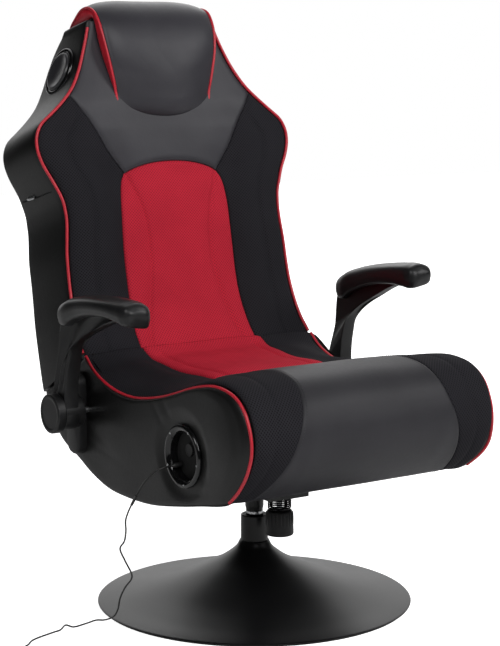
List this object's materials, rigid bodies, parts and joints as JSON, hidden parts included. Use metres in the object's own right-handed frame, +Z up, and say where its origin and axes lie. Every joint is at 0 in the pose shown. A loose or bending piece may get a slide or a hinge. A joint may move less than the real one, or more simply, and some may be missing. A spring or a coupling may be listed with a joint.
{
  "type": "gaming rocker chair",
  "caption": "Upholstered gaming chair with rolled seat front, reclined back with pillow and side speakers, flip-up arms and a swivelling, tilting trumpet base.",
  "frame": {"origin": "on the floor under the middle of the chair's footprint, measured without the cord", "axes": "+Z up; the sitter faces -Y; the sitter's right hand, with the controls, is at -X"},
  "size_m": [0.9137, 0.8368, 1.1036],
  "materials": {
    "satin_black_steel": "satin",
    "zinc_steel": "satin",
    "black_plastic": "satin",
    "gloss_black_plastic": "gloss",
    "black_rubber": "matte",
    "side_leather": "satin",
    "grey_leather": "satin",
    "black_mesh": "matte",
    "red_mesh": "matte",
    "red_piping": "satin",
    "plywood": "matte",
    "circuit_green": "satin",
    "soft_pad": "satin"
  },
  "bodies": {
    "base": {"trumpet_base": "satin_black_steel", "floor_ring": "black_rubber", "column_tube": "satin_black_steel", "column_bush": "black_plastic"},
    "swivel": {"spindle": "zinc_steel", "spindle_clip": "zinc_steel", "bearing_ring": "zinc_steel", "mechanism_channel": "satin_black_steel", "tilt_pin": "zinc_steel", "stop_buffer": "black_rubber", "tension_spring": "zinc_steel"},
    "seat": {"tilt_plate": "satin_black_steel", "tension_bolt": "zinc_steel", "seat_board": "plywood", "seat_rail": "plywood", "seat_side_right": "side_leather", "seat_side_left": "side_leather", "seat_piping_right": "red_piping", "seat_piping_left": "red_piping", "seat_cushion": "black_mesh", "front_roll": "grey_leather", "seat_hinge_right": "zinc_steel", "seat_hinge_left": "zinc_steel", "hinge_pin_right": "zinc_steel", "hinge_pin_left": "zinc_steel", "control_cup": "gloss_black_plastic", "control_ring": "gloss_black_plastic", "amplifier_board": "circuit_green", "line_socket": "black_plastic", "arm_bracket_right": "black_plastic", "arm_bracket_left": "black_plastic", "arm_bolt_right": "zinc_steel", "arm_bolt_left": "zinc_steel", "cord_plug": "black_plastic", "cord_run": "black_rubber", "cord_coil": "black_rubber", "cord_end": "black_plastic"},
    "tension_knob": {"tension_knob": "black_plastic"},
    "volume_knob": {"volume_knob": "black_plastic"},
    "bass_knob": {"bass_knob": "black_plastic"},
    "power_button": {"power_button": "black_plastic"},
    "arm_right": {"arm_stem_right": "black_plastic", "arm_cap_right": "black_plastic", "arm_pad_right": "soft_pad"},
    "arm_left": {"arm_stem_left": "black_plastic", "arm_cap_left": "black_plastic", "arm_pad_left": "soft_pad"},
    "back": {"back_shell": "side_leather", "back_board": "plywood", "back_cushion": "red_mesh", "head_pillow": "grey_leather", "back_piping_right": "red_piping", "back_piping_left": "red_piping", "back_hinge_right": "zinc_steel", "back_hinge_left": "zinc_steel", "speaker_ring_right": "gloss_black_plastic", "speaker_ring_left": "gloss_black_plastic", "speaker_driver_right": "gloss_black_plastic", "speaker_driver_left": "gloss_black_plastic"}
  },
  "joints": [
    {"name": "swivel", "type": "hinge", "parent": "base", "child": "swivel", "pos_m": [0, -0.0486, 0.1665], "axis": [0, 0, 1], "continuous": true},
    {"name": "seat_tilt", "type": "hinge", "parent": "swivel", "child": "seat", "pos_m": [0, -0.0486, 0.224], "axis": [-1, 0, 0], "range_deg": [0, 10], "stiffness_Nm_per_rad": 160, "springref_deg": -34.38, "deforming": ["tension_spring"]},
    {"name": "tension_turn", "type": "hinge", "parent": "seat", "child": "tension_knob", "pos_m": [0, -0.1286, 0.164], "axis": [0, 0, 1], "continuous": true},
    {"name": "volume_turn", "type": "hinge", "parent": "seat", "child": "volume_knob", "pos_m": [-0.242, -0.2156, 0.342], "axis": [1, 0, 0], "range_deg": [-135, 135]},
    {"name": "bass_turn", "type": "hinge", "parent": "seat", "child": "bass_knob", "pos_m": [-0.241, -0.2396, 0.341], "axis": [1, 0, 0], "range_deg": [-135, 135]},
    {"name": "power_press", "type": "slide", "parent": "seat", "child": "power_button", "axis": [1, 0, 0], "range_m": [0, 0.0015], "stiffness_N_per_m": 400, "springref_m": -0.0005},
    {"name": "arm_right_lift", "type": "hinge", "parent": "seat", "child": "arm_right", "pos_m": [-0.31, 0.1034, 0.363], "axis": [-1, 0, 0], "range_deg": [0, 90]},
    {"name": "arm_left_lift", "type": "hinge", "parent": "seat", "child": "arm_left", "pos_m": [0.31, 0.1034, 0.363], "axis": [-1, 0, 0], "range_deg": [-5.5, 84.5]},
    {"name": "back_fold", "type": "hinge", "parent": "seat", "child": "back", "pos_m": [0, 0.1254, 0.4538], "axis": [1, 0, 0], "range_deg": [0, 90]}
  ]
}
